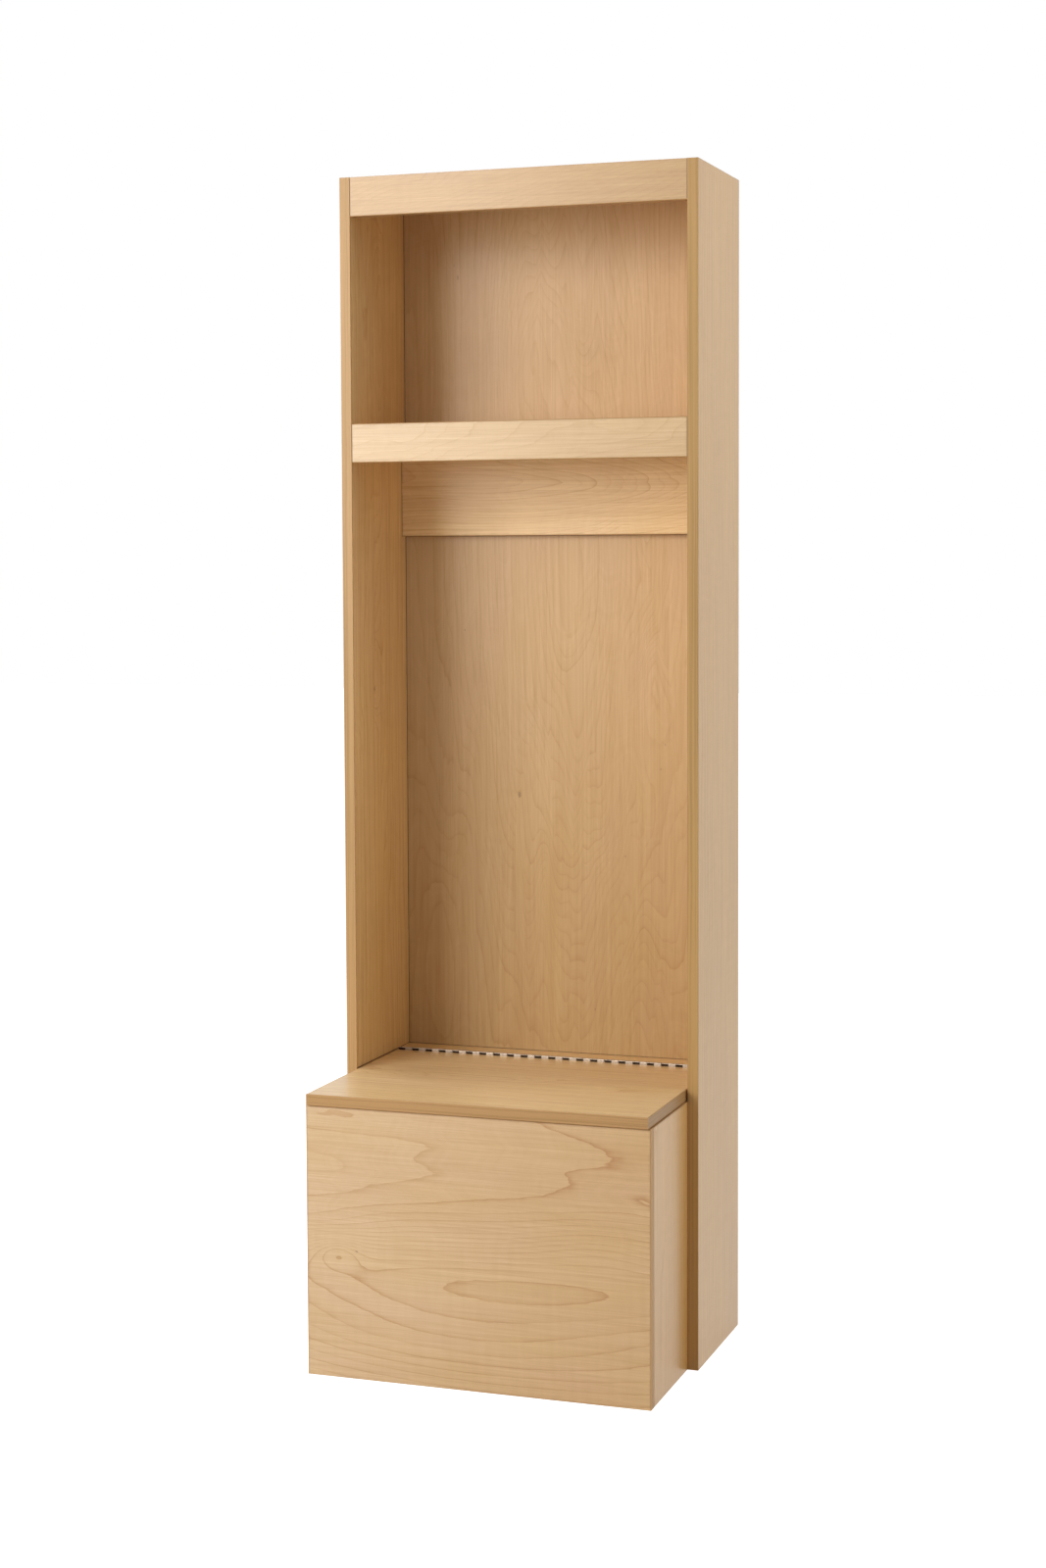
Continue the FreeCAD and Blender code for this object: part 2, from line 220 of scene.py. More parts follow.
# The strength of the weaker line halfway between two growth lines, for the boards that have one.
HALF_LINES = {"back_panel": 0.6, "hook_rail": 0.4, "side_panel_left": 0.5, "lid_panel": 0.5}

# How much of the lacquer's gloss a board has, where that isn't all of it.
GLOSS = {"back_panel": 0.4, "hook_rail": 0.4, "side_panel_left": 0.6, "lid_panel": 0.8}

# The tone of the edge bands, and of those that differ.
BAND_TONE = (1.03, 1.04, 1.16)
BAND_TONES = {
    "side_band_left": (1.13, 1.19, 1.38),
    "side_band_right": (1.06, 1.11, 1.12),
    "box_front_band_right": (1.20, 1.18, 1.17),
    "lid_band_right": (0.95, 0.95, 1.00),
}

# How much of its dark colour a knot, the painted shade in a joint, a worn arris and a glue line
# take on.
KNOT_SHARE = 0.42
JOINT_SHADE_SHARE = 0.85
WORN_SHARE = 0.22
GLUE_SHARE = 0.45

# How deep the grain of the boards and bands, the grain of the dowels, the drawn lines of the
# plating and the skin of the bumpers are.
GRAIN_DEPTH = 0.12 * MM
DOWEL_DEPTH = 0.10 * MM
DRAWN_DEPTH = 0.01 * MM
RUBBER_DEPTH = 0.05 * MM

# The screws: radius of the head, radius of the shank, length and length of the tip, and the
# radius of the flat spot that every tip ends in.
SMALL_SCREW = (2.7 * MM, 1.4 * MM, 14 * MM, 3 * MM)
LARGE_SCREW = (3.9 * MM, 1.9 * MM, 28 * MM, 4 * MM)
BLUNT = 0.3 * MM

# The width of a cross recess and of its slots, as shares of the head's radius, and how far a
# screw's head stands over its board, so that it covers its countersink.
RECESS = 1.15
SLOT = 0.27
PROUD = 0.08 * MM

# The soft boxes: where each stands, what it points at, its width and height. Their powers are
# settings of the stage.
LAMPS = {
    "key": ((-1.85, -2.75, 2.0), (0, 0, 1.0), (1.9, 2.0)),
    "side": ((3.0, 0.2, 2.7), (0.3, 0.1, 1.2), (1.6, 1.8)),
    "left": ((-1.9, 0.35, 2.6), (-0.1, -0.15, 0.46), (0.7, 0.7)),
    "top": ((-0.6, -2.9, 2.9), (0, 0, 1.0), (1.6, 1.4)),
}

# The floor: half its width, how far its middle is behind the locker and how far it lies below it.
FLOOR_REACH = 14.0
FLOOR_BACK = 6.0
FLOOR_DROP = 0.2 * MM


class Value:
    """A node's output. Plain arithmetic on it adds the nodes that work the result out."""

    def __init__(self, graph, socket):
        self.graph = graph
        self.socket = socket

    def __add__(self, other):
        return self.graph.math("ADD", self, other)

    def __sub__(self, other):
        return self.graph.math("SUBTRACT", self, other)

    def __rsub__(self, other):
        return self.graph.math("SUBTRACT", other, self)

    def __mul__(self, other):
        return self.graph.math("MULTIPLY", self, other)

    def __truediv__(self, other):
        return self.graph.math("DIVIDE", self, other)

    def __rtruediv__(self, other):
        return self.graph.math("DIVIDE", other, self)

    def __pow__(self, other):
        return self.graph.math("POWER", self, other)

    def __abs__(self):
        return self.graph.math("ABSOLUTE", self)


class Graph:
    """Adds nodes to one tree. A Value given as an input is joined, anything else is set."""

    def __init__(self, tree):
        self.tree = tree

    def feed(self, socket, value):
        if isinstance(value, Value):
            self.tree.links.new(value.socket, socket)
        else:
            socket.default_value = value

    def node(self, kind, feeds=None, **settings):
        """A new node. A list joins each of its values to the same input."""
        made = self.tree.nodes.new(kind)
        for key, value in settings.items():
            setattr(made, key, value)
        for key, value in (feeds or {}).items():
            for each in value if isinstance(value, list) else [value]:
                self.feed(made.inputs[key], each)
        return made

    def out(self, kind, feeds=None, key=0, **settings):
        """The output of a new node that is found by the key."""
        return Value(self, self.node(kind, feeds, **settings).outputs[key])

    def outs(self, kind, feeds=None, **settings):
        """All outputs of a new node, by name."""
        made = self.node(kind, feeds, **settings)
        return {socket.name: Value(self, socket) for socket in made.outputs}

    def math(self, operation, *values, clamp=False):
        return self.out("ShaderNodeMath", dict(enumerate(values)), operation=operation,
                        use_clamp=clamp)

    def vector(self, operation, *values):
        return self.out("ShaderNodeVectorMath", dict(enumerate(values)),
                        "Value" if operation == "LENGTH" else "Vector", operation=operation)

    def axes(self, vector):
        return list(self.outs("ShaderNodeSeparateXYZ", {0: vector}).values())

    def join(self, x, y, z):
        return self.out("ShaderNodeCombineXYZ", {0: x, 1: y, 2: z})

    def grey(self, value):
        return self.join(value, value, value)

    def distance(self, vector, centre, unit):
        """How far a place is from a centre, counted in a unit of its own along each axis."""
        offset = self.vector("SUBTRACT", vector, centre)
        return self.vector("LENGTH", self.vector("DIVIDE", offset, unit))

    def noise(self, vector, waves, detail=2.0, roughness=0.5, seed=ORIGIN):
        """Noise with so many waves to a metre along each axis."""
        place = self.vector("MULTIPLY_ADD", vector, waves, seed)
        return self.out("ShaderNodeTexNoise", {"Vector": place, "Scale": 1.0, "Detail": detail,
                                               "Roughness": roughness}, "Fac")

    def ramp(self, value, low, high, start=0.0, end=1.0):
        """A smooth change from start at low to end at high."""
        return self.out("ShaderNodeMapRange",
                        {"Value": value, "From Min": low, "From Max": high, "To Min": start,
                         "To Max": end}, "Result", interpolation_type="SMOOTHSTEP")

    def mix(self, share, first, second, blend="MIX"):
        made = self.node("ShaderNodeMix", data_type="RGBA", blend_type=blend)
        for key, value in ((0, share), (6, first), (7, second)):
            self.feed(made.inputs[key], value)
        return Value(self, made.outputs[2])

    def times(self, colour, shade):
        return self.mix(1.0, colour, shade, "MULTIPLY")

    def bump(self, height, distance, strength):
        return self.out("ShaderNodeBump", {"Height": height, "Distance": distance,
                                           "Strength": strength})


def group(name, inputs, outputs):
    """A new shader node group: its graph, its inputs and the function that sets its outputs. The
    kind of an input follows from its default, and that of an output from its name."""
    tree = bpy.data.node_groups.new(name, "ShaderNodeTree")
    for label, default in inputs.items():
        kind = {3: "Vector", 4: "Color"}[len(default)] if isinstance(default, tuple) else "Float"
        socket = tree.interface.new_socket(label, in_out="INPUT", socket_type="NodeSocket" + kind)
        socket.default_value = default
    for label in outputs:
        kind = label if label in ("Vector", "Color") else "Float"
        tree.interface.new_socket(label, in_out="OUTPUT", socket_type="NodeSocket" + kind)
    graph = Graph(tree)
    given = graph.outs("NodeGroupInput")
    leave = graph.node("NodeGroupOutput")

    def finish(*values):
        for target, value in zip(leave.inputs, values):
            graph.feed(target, value)
        return tree

    return graph, [given[label] for label in inputs], finish


@cache
def swell_group():
    """One rise in the growth rings, as round a knot or under the tip of a flame figure."""
    graph, (vector, centre, spread, rise), finish = group(
        "Ring swell", {"Vector": ORIGIN, "Centre": ORIGIN, "Spread": (0.1, 0.1, 1), "Rise": 1.0},
        ["Rings"])
    distance = graph.distance(vector, centre, spread)
    return finish(graph.math("EXPONENT", distance ** 2.0 * -1.0) * rise)


@cache
def flame_group():
    """Moves places along the grain in ridges across it, so that ring lines end in points."""
    graph, (vector, seed, reach, low, high), finish = group(
        "Flame tips",
        {"Vector": ORIGIN, "Seed": 0.0, "Reach": 0.1, "Low": -1.0, "High": -0.9}, ["Vector"])
    ridges = []
    for share in (5.3, 9.1):
        start = seed * share
        wave = graph.noise(vector, (3.0, 17.0, 1.0), 0.4, seed=graph.join(start, start, 0.0))
        ridges.append(abs(wave - 0.5))
    zone = graph.ramp(graph.axes(vector)[1], low, high)
    move = (ridges[0] - ridges[1]) * (reach * zone)
    return finish(graph.vector("ADD", vector, graph.join(move, 0.0, 0.0)))


@cache
def knot_group():
    """A pin knot or a fleck: a small dark spot with a ragged outline."""
    graph, (vector, centre, size), finish = group(
        "Pin knot", {"Vector": ORIGIN, "Centre": ORIGIN, "Size": (0.01, 0.01, 1)}, ["Mask"])
    ragged = graph.noise(vector, (400.0, 400.0, 1.0), 3.0, 0.6)
    distance = graph.distance(vector, centre, size) + (ragged - 0.5)
    return finish(1.0 - graph.ramp(distance, 0.25, 0.8))


@cache
def veneer_group():
    """Peeled veneer: growth rings that wander along the sheet, fine fibres, short pores, a faint
    ripple across the grain and slow changes of colour. The vector runs along the grain, across
    it and through the sheet."""
    graph, given, finish = group(
        "Peeled veneer",
        {"Vector": ORIGIN, "Seed": 0.0, "Swell": 0.0, "Rings Across": 40.0, "Rings Along": 1.0,
         "Wander": 2.0, "Line Strength": 0.5, "Streak Strength": 0.15, "Half Line": 0.0,
         "Face Color": (0.7, 0.5, 0.3, 1), "Line Color": (0.5, 0.3, 0.1, 1)},
        ["Color", "Roughness", "Height"])
    vector, seed, swell, rings_across, rings_along, wander, *given = given
    line_strength, streak_strength, half_line, face_color, line_color = given
    start = graph.join(seed * 3.7, seed * 1.3, seed)

    def figure(along, across, detail, roughness=0.5):
        return graph.noise(vector, (along, across, 20.0), detail, roughness, start)

    def thin_line(phase):
        """A dark line that grows up to the end of a ring and stops there."""
        return phase ** 18.0 * graph.ramp(phase, 1.0, 0.975)

    along, across, _ = graph.axes(vector)
    rings = along * rings_along + across * rings_across
    broad, medium, fine = figure(1.5, 6.5, 1.0), figure(7.0, 21.0, 1.5), figure(36.0, 110.0, 2.0)
    for part, share, least in ((broad, 2.6, 0.0), (medium, 0.8, 0.0), (fine, 0.20, 0.14)):
        rings = (part - 0.5) * graph.math("MAXIMUM", wander * share, least) + rings
    rings = rings + swell
    phase = graph.math("FRACT", rings)
    order = graph.math("FLOOR", rings)
    vary = graph.noise(graph.join(order, seed, along), (5.31, 1.0, 3.0), 1.0)
    line = thin_line(phase) * graph.ramp(vary, 0.3, 0.65, 0.25, 1.0)
    line = thin_line(graph.math("FRACT", rings + 0.5)) * half_line + line
    late = phase ** 2.5 * graph.ramp(phase, 1.0, 0.92)

    fibre = figure(14.0, 1300.0, 3.0, 0.65)
    streak = figure(3.0, 170.0, 2.0, 0.6)
    hatch = figure(9.0, 620.0, 2.0, 0.6)
    pore = graph.ramp(figure(160.0, 3000.0, 1.0), 0.66, 0.76)
    ripple = figure(75.0, 9.0, 2.0, 0.6)
    cloud = figure(2.4, 8.0, 2.0)
    warmth = figure(5.0, 14.0, 2.0)

    dark = graph.math("ADD", pore * 0.10, (late * 0.12 + line) * line_strength, clamp=True)
    total = 1.0
    for layer, amount in ((fibre, 0.26), (streak, streak_strength), (hatch, streak_strength),
                          (ripple, 0.08), (cloud, 0.10)):
        total = (layer - 0.5) * amount + total
    tint = (warmth - 0.5) * 0.09 + total
    colour = graph.times(graph.mix(dark, face_color, line_color),
                         graph.join(total, total ** 1.5, tint ** 2.2))
    rough = line * 0.08 + ((streak - 0.5) * 0.12 + 0.40)
    return finish(colour, rough, pore * -0.8 + (fibre * 0.5 + line * -0.6))


@cache
def ply_group():
    """The raw edge of a plywood board: thin plies that show long fibres and end grain in turn."""
    graph, (vector, face_at, ply, long_color, end_color), finish = group(
        "Ply edge",
        {"Vector": ORIGIN, "Face At": 0.0, "Ply": 0.0014, "Long Color": (0.6, 0.4, 0.2, 1),
         "End Color": (0.4, 0.25, 0.1, 1)}, ["Color", "Height"])
    sway = graph.noise(vector, (9.0, 9.0, 500.0))
    depth = (sway - 0.5) * 0.0006 + (graph.axes(vector)[2] - face_at)
    turn = graph.math("PINGPONG", depth / ply, 1.0)
    share = graph.ramp(turn, 0.42, 0.58)
    pores = graph.noise(vector, (900.0, 900.0, 2200.0), 2.0, 0.7)
    fibres = graph.noise(vector, (60.0, 60.0, 3200.0), 2.0, 0.6)
    glue = graph.ramp(abs(turn - 0.5), 0.10, 0.0)
    grain = graph.mix(share, graph.grey(fibres), graph.grey(pores))
    shade = graph.mix(0.45, WHITE, graph.times(grain, (1.9, 1.9, 1.9, 1)))
    colour = graph.times(graph.mix(share, long_color, end_color), shade)
    colour = graph.mix(glue * GLUE_SHARE, colour, (0.16, 0.09, 0.04, 1))
    return finish(colour, share * -0.5 + pores)


@cache
def band_group():
    """A strip of straight-grained wood: lines that run along it and drift a little."""
    graph, (vector, seed, face_color, line_color, strength), finish = group(
        "Banding strip",
        {"Vector": ORIGIN, "Seed": 0.0, "Face Color": (0.6, 0.4, 0.2, 1),
         "Line Color": (0.4, 0.3, 0.1, 1), "Line Strength": 0.6},
        ["Color", "Roughness", "Height"])
    start = graph.join(seed, seed * 2.1, seed)
    drift = graph.noise(vector, (7.0, 30.0, 30.0), 2.0, seed=start) - 0.5
    along, across, through = graph.axes(vector)
    place = graph.join(along, drift * 0.0045 + across, through)
    lines = graph.noise(place, (1.4, 330.0, 160.0), 2.0, 0.55, start)
    fibre = graph.noise(vector, (20.0, 1700.0, 900.0), 3.0, 0.65, start)
    pore = graph.ramp(graph.noise(vector, (170.0, 3200.0, 1500.0), 1.0, seed=start), 0.64, 0.74)
    cloud = graph.noise(vector, (4.0, 12.0, 12.0), 2.0, seed=start)
    dark = graph.math("ADD", pore * 0.14, graph.ramp(lines, 0.46, 0.68) * strength, clamp=True)
    total = (cloud - 0.5) * 0.14 + ((fibre - 0.5) * 0.16 + 1.0)
    colour = graph.times(graph.mix(dark, face_color, line_color), graph.grey(total))
    return finish(colour, (fibre - 0.5) * 0.12 + 0.44, pore * -0.8 + fibre)


@cache
def handled_group():
    """Where hands and cleaning reach a board: a mask that is 1 on its arrises and fades out over a
    given width, broken up so that no edge is worn evenly."""
    graph, (vector, low, high, width), finish = group(
        "Handled edges", {"Vector": ORIGIN, "Low": ORIGIN, "High": (1, 1, 1), "Width": 0.002},
        ["Mask"])
    nearer = graph.vector("MINIMUM", graph.vector("SUBTRACT", vector, low),
                          graph.vector("SUBTRACT", high, vector))
    x, y, z = graph.axes(graph.vector("ABSOLUTE", nearer))
    least = graph.math("MINIMUM", graph.math("MINIMUM", x, y), z)
    most = graph.math("MAXIMUM", graph.math("MAXIMUM", x, y), z)
    middle = x + y + z - least - most
    broken = graph.noise(vector, (45.0, 45.0, 45.0), 3.0, 0.6)
    reach = width * graph.ramp(broken, 0.3, 0.7, 0.35, 1.4)
    return finish(1.0 - graph.ramp(middle / reach, 0.15, 1.0))


@cache
def joint_shade_group():
    """A thin line of painted shade in a joint: a mask that is 1 at one place on an axis and fades
    out beside it.
    """
    graph, (coordinate, place, width), finish = group(
        "Joint line", {"Coordinate": 0.0, "Place": 0.0, "Width": 0.001}, ["Mask"])
    return finish(graph.ramp(abs(coordinate - place) / width, 1.0, 0.35))


@cache
def plate_group():
    """Bright plated steel: fine drawn lines along the strip and faint cloudy smudges."""
    graph, (vector, face_color, dull_color, roughness), finish = group(
        "Plated steel",
        {"Vector": ORIGIN, "Face Color": (0.8, 0.75, 0.7, 1), "Dull Color": (0.5, 0.45, 0.4, 1),
         "Roughness": 0.3}, ["Color", "Roughness", "Height"])
    drawn = graph.noise(vector, (90.0, 4200.0, 4200.0), 2.0, 0.6)
    dull = graph.ramp(graph.noise(vector, (160.0, 160.0, 160.0), 3.0, 0.6), 0.42, 0.75)
    rough = graph.math("ADD", dull * 0.15, (drawn - 0.5) * 0.25 + roughness, clamp=True)
    return finish(graph.mix(dull * 0.5, face_color, dull_color), rough, drawn)


def material(name):
    """A new material with only its Principled BSDF and output: its graph, and the function that
    feeds the shader and gives the material."""
    made = bpy.data.materials.new(name)
    made.use_nodes = True
    made.node_tree.nodes.clear()
    graph = Graph(made.node_tree)
    shader = graph.node("ShaderNodeBsdfPrincipled")
    graph.node("ShaderNodeOutputMaterial", {"Surface": Value(graph, shader.outputs[0])})

    def dress(feeds):
        for key, value in feeds.items():
            graph.feed(shader.inputs[key], value)
        return made

    return graph, dress


def use(graph, tree, **feeds):
    """Places a shared group in a material. The words of an input's name are joined by _."""
    named = {key.replace("_", " ").title(): value for key, value in feeds.items()}
    return graph.outs("ShaderNodeGroup", named, node_tree=tree)


def rgba(colour, tone=(1.0, 1.0, 1.0)):
    return tuple(channel * share for channel, share in zip(colour, tone)) + (1.0,)


def grain_vector(graph, order):
    """Object coordinates, the same as along the grain, across it and through the board, and how
    squarely the surface faces along the last of these."""
    coordinates = graph.outs("ShaderNodeTexCoord")
    axes = dict(zip("xyz", graph.axes(coordinates["Object"])))
    normals = dict(zip("xyz", graph.axes(coordinates["Normal"])))
    vector = graph.join(*[axes[letter] for letter in order])
    return coordinates["Object"], vector, abs(normals[order[2]])


def paint(obj, made):
    obj.data.materials.clear()
    obj.data.materials.append(made)


def colour_setting(name, description, default):
    return FloatVectorProperty(name=name, description=description, default=default,
                               subtype="COLOR", size=3, min=0, max=1)


def share_setting(name, description, default):
    return FloatProperty(name=name, description=description, default=default, subtype="FACTOR",
                         min=0, max=1)


def length_setting(name, description, default):
    return FloatProperty(name=name, description=description, default=default,
                         subtype="DISTANCE", unit="LENGTH")


def angle_setting(name, description, degrees):
    return FloatProperty(name=name, description=description, default=math.radians(degrees),
                         subtype="ANGLE", unit="ROTATION")


def power_setting(name, description, watts):
    return FloatProperty(name=name, description=description, default=watts, min=0, unit="POWER")


class LockerWoodSettings(bpy.types.PropertyGroup):
    face_color: colour_setting("Face veneer", "Pale ground of the face veneer",
                               (0.74, 0.475, 0.20))
    line_color: colour_setting("Growth line", "Late wood of the growth rings", (0.47, 0.20, 0.04))
    band_color: colour_setting("Edge band", "Ground of the edge bands", (0.53, 0.30, 0.11))
    band_line_color: colour_setting("Edge band line", "Dark lines in the edge bands",
                                    (0.33, 0.17, 0.055))
    end_color: colour_setting("End grain", "End grain of the plies on a raw edge",
                              (0.47, 0.30, 0.15))
    # This colour serves the real knots and flecks, and also the painted shade in the joints.
    knot_and_shade_color: colour_setting("Knot", "Pin knots, flecks and the shade in joints",
                               (0.12, 0.06, 0.025))
    line_strength: share_setting("Growth line strength", "How strongly the growth lines show",
                                 0.74)
    ply: length_setting("Ply", "Thickness of one ply", 0.001385)
    arris: length_setting("Arris", "Width of the softened edges", 0.00045)
    joint: length_setting("Joint", "Half the width of the shade in a joint", 0.0013)
    wear: length_setting("Wear", "How far from an arris a board is handled", 0.0035)
    coat: share_setting("Lacquer", "Weight of the satin lacquer", 0.35)
    specular: share_setting("Specular level", "Specular level of the veneer under the lacquer",
                            0.5)
    band_gloss: share_setting("Band gloss", "Share of the boards' gloss that the bands have",
                              0.35)
    coat_roughness: share_setting("Lacquer roughness", "Roughness of the satin lacquer", 0.22)


class LockerHingeSettings(bpy.types.PropertyGroup):
    plate_color: colour_setting("Plate", "Bright plating of the hinge", (0.46, 0.37, 0.285))
    dull_color: colour_setting("Dull plate", "Plating where it has dulled", (0.36, 0.31, 0.26))
    # Painted shade: the fixed leaf and the pin are coloured dark to stand for the shadowed gap
    # under the fixed knuckles, not for darker plating.
    shaded_color: colour_setting("Fixed leaf", "Dark plating of the fixed leaf and the pin",
                                 (0.085, 0.055, 0.035))
    # Below the crown the fixed knuckles have painted shade, above it the plain plate colour of
    # their lit tops.
    crown: length_setting("Crown", "Height over the pin's axis from which the dark plating is "
                                   "bright", 0.0005)
    leaf: length_setting("Leaf", "Thickness of a leaf", 0.0009)
    pitch: length_setting("Knuckle", "Length of one knuckle with its gap", 0.0125)
    gap: length_setting("Knuckle gap", "Gap between two knuckles", 0.0003)
    curl: angle_setting("Curl", "How far a knuckle is rolled round the pin", 290.0)
    curl_parts: IntProperty(name="Curl parts", description="Facets round one knuckle", min=8,
                            default=22)


class LockerStageSettings(bpy.types.PropertyGroup):
    camera_place: FloatVectorProperty(
        name="Camera", description="Where the camera stands", subtype="TRANSLATION",
        unit="LENGTH", size=3, default=(1.35806, -3.91928, 1.30867))
    camera_yaw: angle_setting("Yaw", "Turn of the camera to the left", 19.0715)
    camera_pitch: angle_setting("Pitch", "Tilt of the camera downwards", 3.5848)
    camera_roll: angle_setting("Roll", "Roll of the camera", -0.252)
    lens: FloatProperty(name="Lens", description="Focal length in millimetres", min=1,
                        default=58.337)
    shift: FloatProperty(name="Shift", default=-0.04187,
                         description="Vertical shift, as a share of the picture's height")
    key: power_setting("Key", "Power of the main soft box, in watts", 79.0)
    side: power_setting("Side", "Power of the soft box on the right, in watts", 32.0)
    left: power_setting("Left", "Power of the soft box on the left, in watts", 16.0)
    top: power_setting("Top", "Power of the soft box overhead, in watts", 9.2)
    sky: FloatProperty(name="Surroundings", description="Strength of the white surroundings",
                       min=0, default=0.282)
    floor_glow: FloatProperty(name="Floor in reflections", min=0, default=0.72,
                              description="Added to the lit floor where it is mirrored")
    floor_color: colour_setting("Floor", "Pale floor", (0.55, 0.55, 0.545))


def board_material(node, settings):
    """Lacquered veneer on a board's two faces, and its bare plies on every other side."""
    order, seed, tone, across, along, wander, strength, streaks = BOARDS[node]
    low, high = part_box(node)
    graph, dress = material("veneer_" + node)
    place, vector, facing = grain_vector(graph, order)
    through = "xyz".index(order[2])
    side = graph.axes(vector)[2] - (low[through] + high[through]) / 2
    shown = graph.math("GREATER_THAN", side * SHOWN.get(node, 1.0), 0.0)

    def two_sided(colour):
        return graph.mix(shown, rgba(colour, OTHER_TONES.get(node, tone)), rgba(colour, tone))

    rings, swells = FIGURES.get(node, (0.0, ()))
    reach, flame_low, flame_high = FLAMES.get(node, QUIET)
    flame = use(graph, flame_group(), vector=vector, seed=seed, reach=reach, low=flame_low,
                high=flame_high)["Vector"]
    for *place_at, spread_along, spread_across, rise in swells:
        swell = use(graph, swell_group(), vector=flame, centre=(*place_at, 0.0),
                    spread=(spread_along, spread_across, ANY_DEPTH), rise=rise)
        rings = swell["Rings"] + rings
    veneer = use(graph, veneer_group(), vector=flame, seed=seed, swell=rings,
                 rings_across=across, rings_along=along, wander=wander,
                 line_strength=settings.line_strength * strength, streak_strength=streaks,
                 half_line=HALF_LINES.get(node, 0.0), face_color=two_sided(settings.face_color),
                 line_color=two_sided(settings.line_color))
    veneered = veneer["Color"]
    for *place_at, length, width in MARKS.get(node, ()):
        spot = use(graph, knot_group(), vector=vector, centre=(*place_at, 0.0),
                   size=(length, width, ANY_DEPTH))
        veneered = graph.mix(spot["Mask"] * KNOT_SHARE, veneered, rgba(settings.knot_and_shade_color))
    # Painted light and shade: the board's colour is darkened along its grain where less light
    # falls.
    if node in LIGHT_FALLOFF_TINTS:
        start, end, near, far = LIGHT_FALLOFF_TINTS[node]
        drift = graph.ramp(graph.axes(vector)[0], start, end)
        veneered = graph.times(veneered, graph.mix(drift, rgba(near), rgba(far)))

    ply = use(graph, ply_group(), vector=vector, face_at=low[through], ply=settings.ply,
              long_color=rgba(settings.face_color, (0.9, 0.9, 0.9)),
              end_color=rgba(settings.end_color))
    handled = use(graph, handled_group(), vector=place, low=low, high=high, width=settings.wear)
    face = graph.ramp(facing, 0.55, 0.85)
    colour = graph.mix(face, ply["Color"], veneered)
    colour = graph.mix(handled["Mask"] * WORN_SHARE, colour, rgba(settings.band_line_color))
    # Painted shade: a thin dark line in the corner where the board meets a neighbour.
    for letter, neighbour, end in SHADED_JOINTS.get(node, ()):
        axis = "xyz".index(letter)
        joint = use(graph, joint_shade_group(), coordinate=graph.axes(place)[axis],
                    place=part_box(neighbour)[end][axis], width=settings.joint)
        colour = graph.mix(joint["Mask"] * shown * JOINT_SHADE_SHARE, colour,
                           rgba(settings.knot_and_shade_color))
    edge = 1.0 - face
    height = veneer["Height"] * face + ply["Height"] * edge
    gloss = GLOSS.get(node, 1.0)
    return dress({"Base Color": colour, "Roughness": veneer["Roughness"] + edge * 0.25,
                  "Normal": graph.bump(height, GRAIN_DEPTH, 0.4),
                  "Coat Weight": face * (settings.coat * gloss),
                  "Specular IOR Level": settings.specular * gloss,
                  "Coat Roughness": settings.coat_roughness})


def soften(obj, width, corner):
    """Gives the edges of a piece that are sharper than a corner a narrow bevel."""
    arris = obj.modifiers.new("Arris", "BEVEL")
    arris.width = width
    arris.segments = 2
    arris.limit_method = "ANGLE"
    arris.angle_limit = math.radians(corner)
    return arris


def soften_board(obj, width):
    """Softens a board's arrises, once its loose triangles are joined into whole flat faces."""
    weld = obj.modifiers.new("Weld", "WELD")
    weld.merge_threshold = MM / 100
    flat = obj.modifiers.new("Flat faces", "DECIMATE")
    flat.decimate_type = "DISSOLVE"
    flat.angle_limit = math.radians(1.0)
    soften(obj, width, 60.0).harden_normals = True


class LOCKER_OT_boards(bpy.types.Operator):
    """Softens the veneered boards and gives each one its own sheet of veneer"""
    bl_idname = "locker.boards"
    bl_label = "Veneered boards"

    def execute(self, context):
        settings = context.scene.locker_wood
        for node in BOARDS:
            soften_board(NODES[node], settings.arris)
            paint(NODES[node], board_material(node, settings))
        return {"FINISHED"}


def longest_first(node):
    """The axes of a strip, from its longest side to its shortest."""
    low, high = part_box(node)
    size = dict(zip("xyz", high - low))
    return "".join(sorted("xyz", key=lambda letter: -size[letter]))


class LOCKER_OT_bands(bpy.types.Operator):
    """Gives the edge bands their straight grain"""
    bl_idname = "locker.bands"
    bl_label = "Edge bands"

    def execute(self, context):
        settings = context.scene.locker_wood
        bands = sorted(node for node in NODES if "_band" in node)
        for index, node in enumerate(bands):
            graph, dress = material("wood_" + node)
            _, vector, _ = grain_vector(graph, longest_first(node))
            tone = BAND_TONES.get(node, BAND_TONE)
            strip = use(graph, band_group(), vector=vector, seed=1.9 * index,
                        face_color=rgba(settings.band_color, tone),
                        line_color=rgba(settings.band_line_color), line_strength=0.45)
            paint(NODES[node], dress({
                "Base Color": strip["Color"], "Roughness": strip["Roughness"],
                "Normal": graph.bump(strip["Height"], GRAIN_DEPTH, 0.6),
                "Coat Weight": settings.coat * settings.band_gloss,
                "Specular IOR Level": settings.specular * settings.band_gloss,
                "Coat Roughness": settings.coat_roughness}))
        return {"FINISHED"}


class LOCKER_OT_dowels(bpy.types.Operator):
    """Gives the hidden dowels their bare beech"""
    bl_idname = "locker.dowels"
    bl_label = "Dowels"

    def execute(self, context):
        settings = context.scene.locker_wood
        graph, dress = material("beech_dowels")
        _, vector, _ = grain_vector(graph, "xyz")
        strip = use(graph, band_group(), vector=vector, seed=40.0,
                    face_color=rgba(settings.face_color), line_color=rgba(settings.line_color),
                    line_strength=0.4)
        made = dress({"Base Color": strip["Color"], "Roughness": strip["Roughness"],
                      "Normal": graph.bump(strip["Height"], DOWEL_DEPTH, 0.6)})
        for node in NODES:
            if node.startswith("dowels"):
                paint(NODES[node], made)
        return {"FINISHED"}


